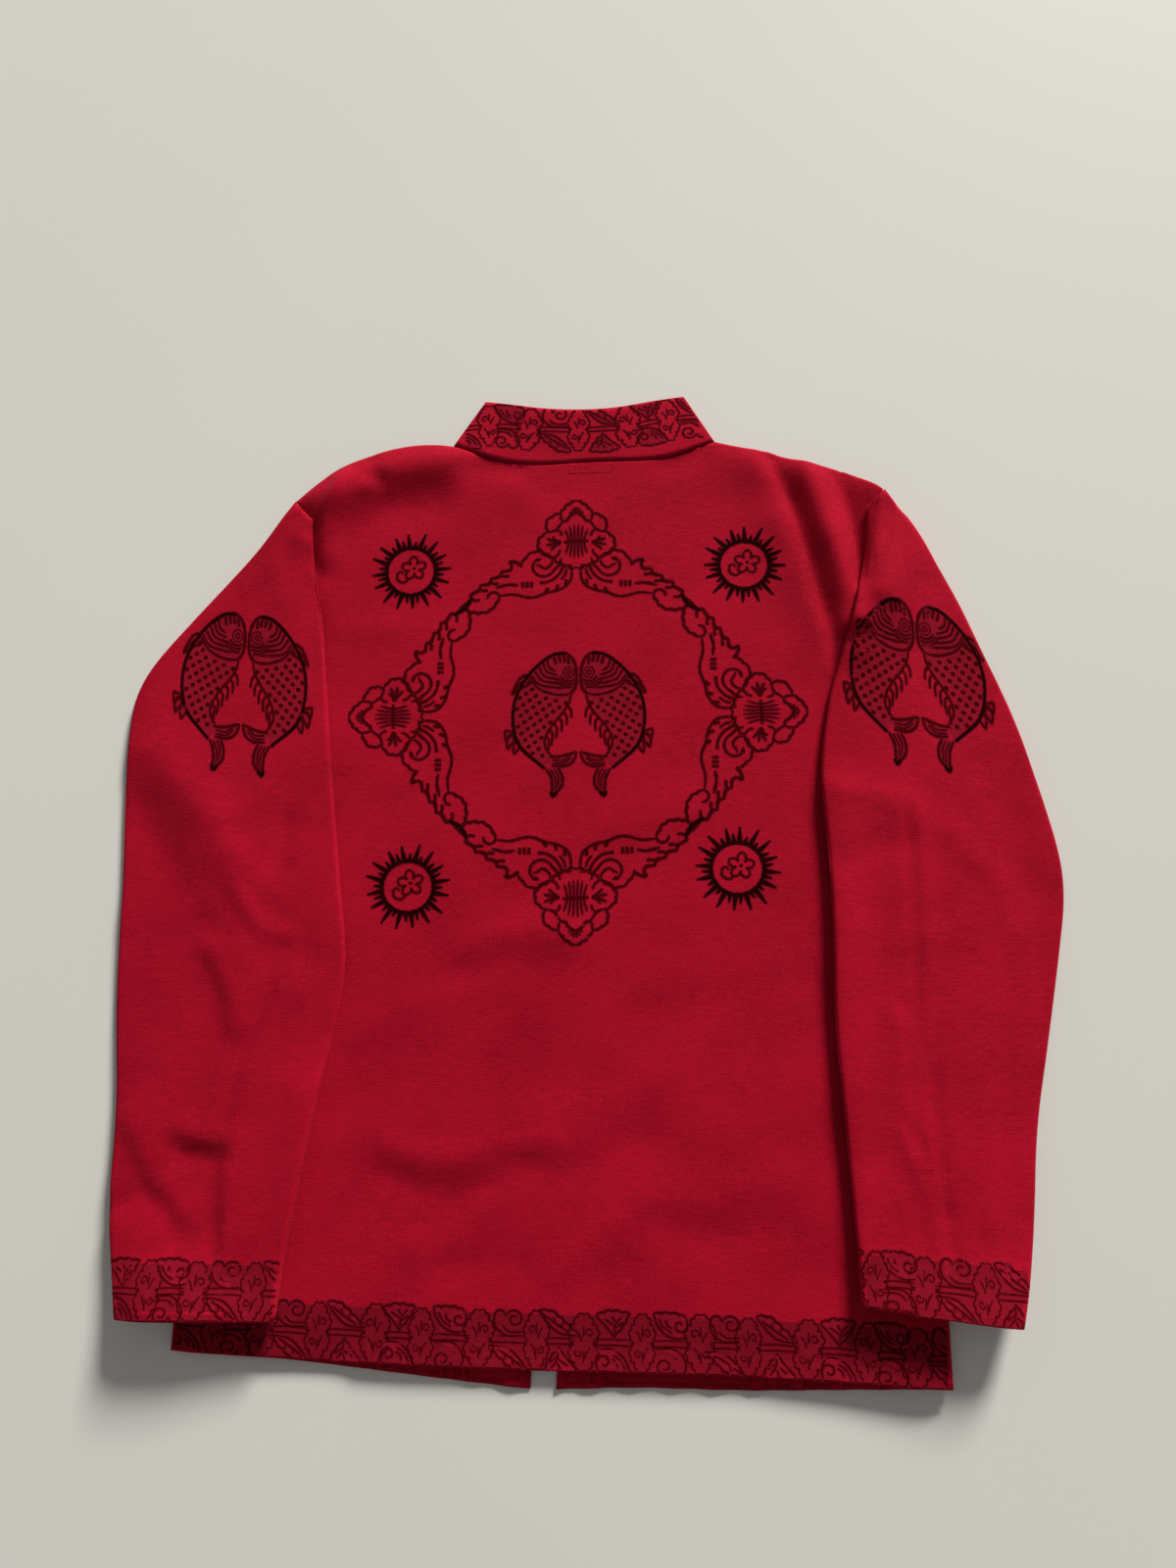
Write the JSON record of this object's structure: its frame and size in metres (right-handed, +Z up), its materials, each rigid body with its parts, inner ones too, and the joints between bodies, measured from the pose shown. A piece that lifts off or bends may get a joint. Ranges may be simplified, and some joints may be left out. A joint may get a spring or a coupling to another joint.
{
  "type": "tang jacket",
  "caption": "Long-sleeved cotton jacket with a stand collar and an open centre front, laid flat face down with its sleeves brought down over its sides.",
  "frame": {"origin": "under the middle of the jacket, on the surface that it lies on", "axes": "+Y to the collar, +X to the right as seen from above, +Z up out of the surface"},
  "size_m": [0.7118, 0.75, 0.0205],
  "materials": {
    "printed_cotton": "crimson cotton with a soft nap, block printed in near-black and dull mauve",
    "thread": "matte cotton sewing thread, the colour of the cloth"
  },
  "bodies": {
    "root": {"back": "printed_cotton", "front_left": "printed_cotton", "front_right": "printed_cotton", "sleeve_left": "printed_cotton", "sleeve_right": "printed_cotton", "collar": "printed_cotton"}
  },
  "joints": []
}
